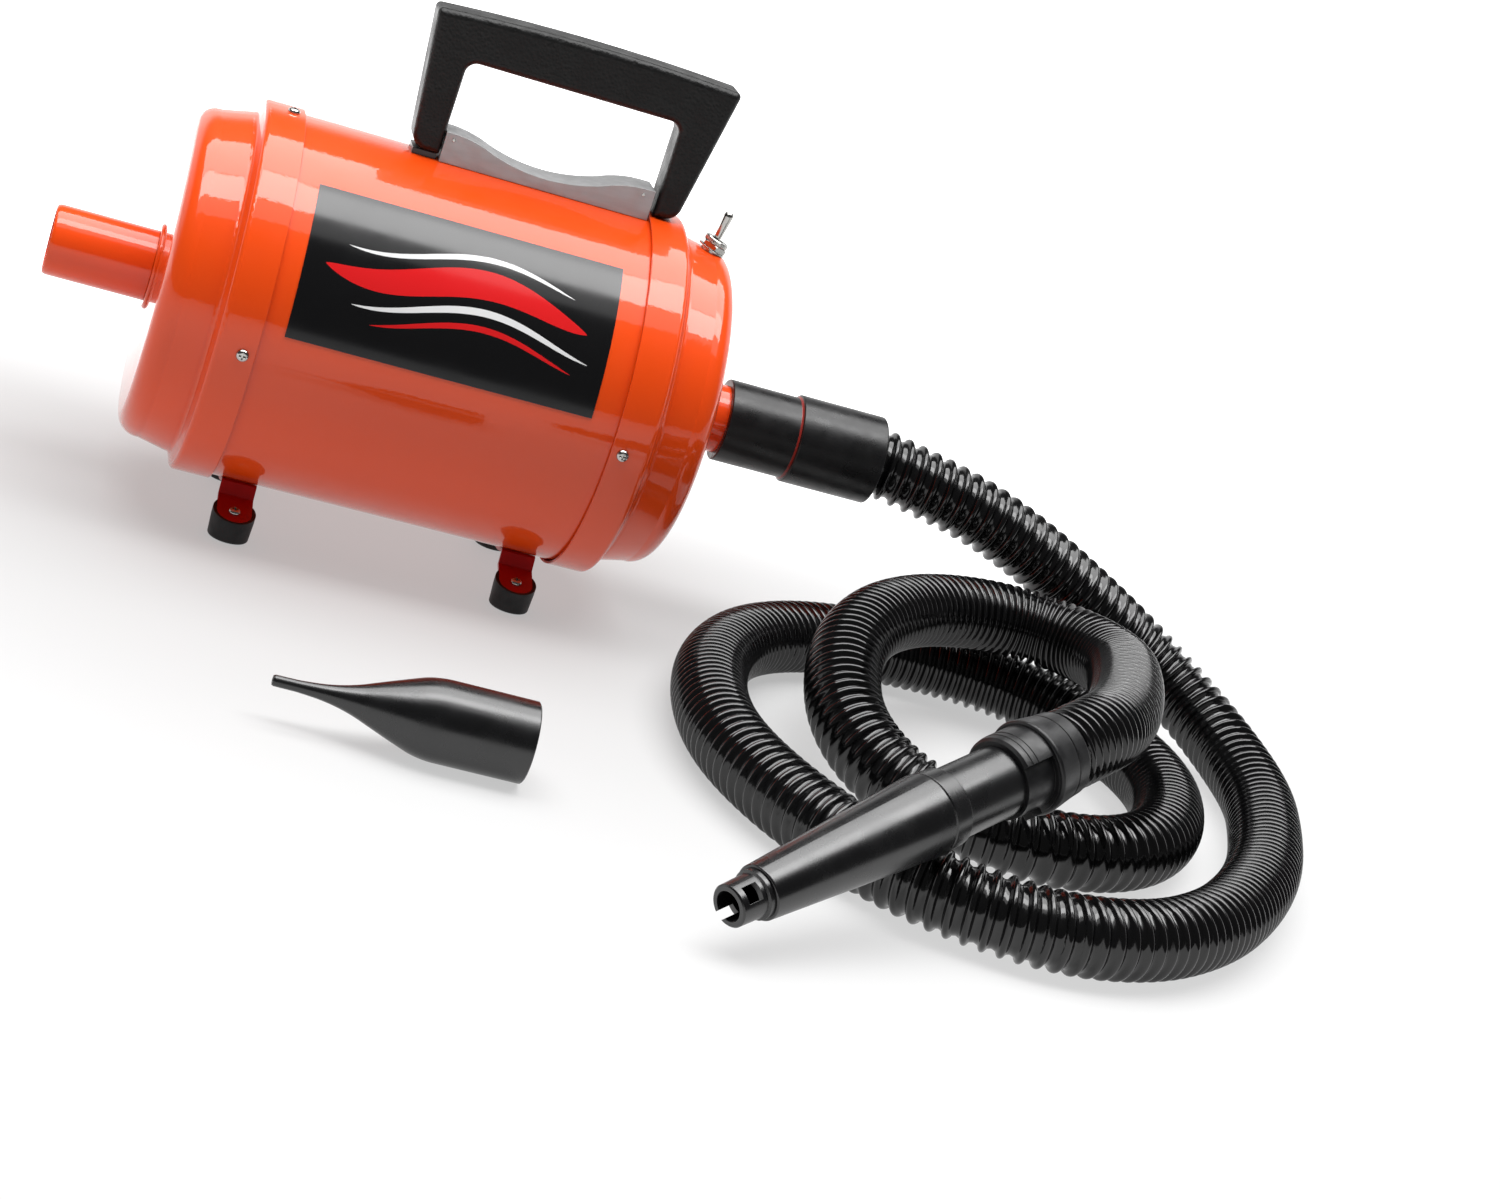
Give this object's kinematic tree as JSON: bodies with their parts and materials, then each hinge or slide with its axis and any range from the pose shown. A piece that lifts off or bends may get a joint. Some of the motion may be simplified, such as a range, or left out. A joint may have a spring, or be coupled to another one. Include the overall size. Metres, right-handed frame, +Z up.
{
  "type": "pet dryer",
  "caption": "Orange canister pet dryer with a carrying handle, toggle switch, rubber feet, two air ports, a long ribbed hose, a cone nozzle and a loose blower nozzle.",
  "frame": {"origin": "on the surface the feet stand on, straight under the middle of the body tube", "axes": "+X along the body's axis from the intake port to the outlet port, +Y to the back, away from the label, +Z up"},
  "size_m": [0.763, 0.5739, 0.3152],
  "materials": {
    "orange_paint": "gloss",
    "red_paint": "gloss",
    "bright_screw": "polished",
    "label_film": "gloss",
    "grip_plastic": "pebble grain",
    "grey_sheet": "satin",
    "foot_rubber": "matt",
    "black_plastic": "satin",
    "cuff_rubber": "satin",
    "hose_plastic": "gloss",
    "zinc_steel": "brushed",
    "bright_aluminium": "satin",
    "copper_wire": "enamelled",
    "lamination_steel": "matt",
    "carbon": "matt",
    "liner_foam": "open-cell foam",
    "brass": "plain"
  },
  "bodies": {
    "dryer_body": {"tube_shell": "orange_paint", "outlet_end_cap": "orange_paint", "intake_end_cap": "orange_paint", "outlet_port_tube": "orange_paint", "intake_port_tube": "orange_paint", "port_collars": "orange_paint", "cap_screws": "bright_screw", "label_plate": "label_film", "handle_grip": "grip_plastic", "handle_bracket": "grey_sheet", "handle_bracket_pins": "bright_screw", "handle_screws": "zinc_steel", "handle_spacer": "black_plastic", "switch_washer": "bright_screw", "switch_bushing": "bright_screw", "switch_hex_nut": "bright_screw", "switch_dress_nut": "bright_screw", "switch_body": "black_plastic", "switch_terminals": "brass", "cord_grommet": "cuff_rubber", "intake_foot_strap": "red_paint", "outlet_foot_strap": "red_paint", "strap_rivets": "zinc_steel", "foot_screws": "bright_screw", "rubber_feet": "foot_rubber", "fan_housing": "bright_aluminium", "stage_diffuser": "bright_aluminium", "drive_end_plate": "bright_aluminium", "motor_bearings": "zinc_steel", "field_stack": "lamination_steel", "field_coils": "copper_wire", "brush_holders": "black_plastic", "brush_springs": "zinc_steel", "front_carbon_brush": "carbon", "rear_carbon_brush": "carbon", "commutator_end_bridge": "bright_aluminium", "motor_bolts": "zinc_steel", "motor_mounting_ring": "foot_rubber", "partition_ring": "zinc_steel", "rear_cradle": "zinc_steel", "cradle_bushes": "foot_rubber", "acoustic_liner": "liner_foam", "intake_filter": "liner_foam", "filter_screen": "zinc_steel"},
    "motor_rotor": {"motor_shaft": "zinc_steel", "shaft_nut": "zinc_steel", "impellers": "bright_aluminium", "armature_core": "lamination_steel", "armature_windings": "copper_wire", "armature_spacers": "black_plastic", "commutator": "brass", "cooling_fan": "black_plastic"},
    "toggle_lever": {"switch_lever": "bright_screw"},
    "hose": {"outlet_cuff": "cuff_rubber", "hose_tube": "hose_plastic", "tool_end_cuff": "cuff_rubber", "adaptor_tube": "black_plastic"},
    "fitted_nozzle": {"cone_nozzle": "black_plastic", "nozzle_tip": "black_plastic"},
    "loose_nozzle": {"spare_nozzle": "black_plastic"}
  },
  "joints": [
    {"name": "motor_spin", "type": "hinge", "parent": "dryer_body", "child": "motor_rotor", "pos_m": [0, 0, 0.126], "axis": [1, 0, 0], "continuous": true},
    {"name": "switch_throw", "type": "hinge", "parent": "dryer_body", "child": "toggle_lever", "pos_m": [0.14239, 0, 0.22291], "axis": [0, 1, 0], "range_deg": [0, 16]},
    {"name": "hose_pull_off", "type": "slide", "parent": "dryer_body", "child": "hose", "axis": [1, 0, 0], "range_m": [0, 0.04]},
    {"name": "nozzle_turn", "type": "hinge", "parent": "hose", "child": "fitted_nozzle", "pos_m": [0.24254, -0.38089, 0.06143], "axis": [-0.7721, -0.5724, -0.2762], "continuous": true},
    {"name": "spare_nozzle_lift", "type": "slide", "parent": "dryer_body", "child": "loose_nozzle", "axis": [0, 0, 1], "range_m": [0, 0.1]}
  ]
}
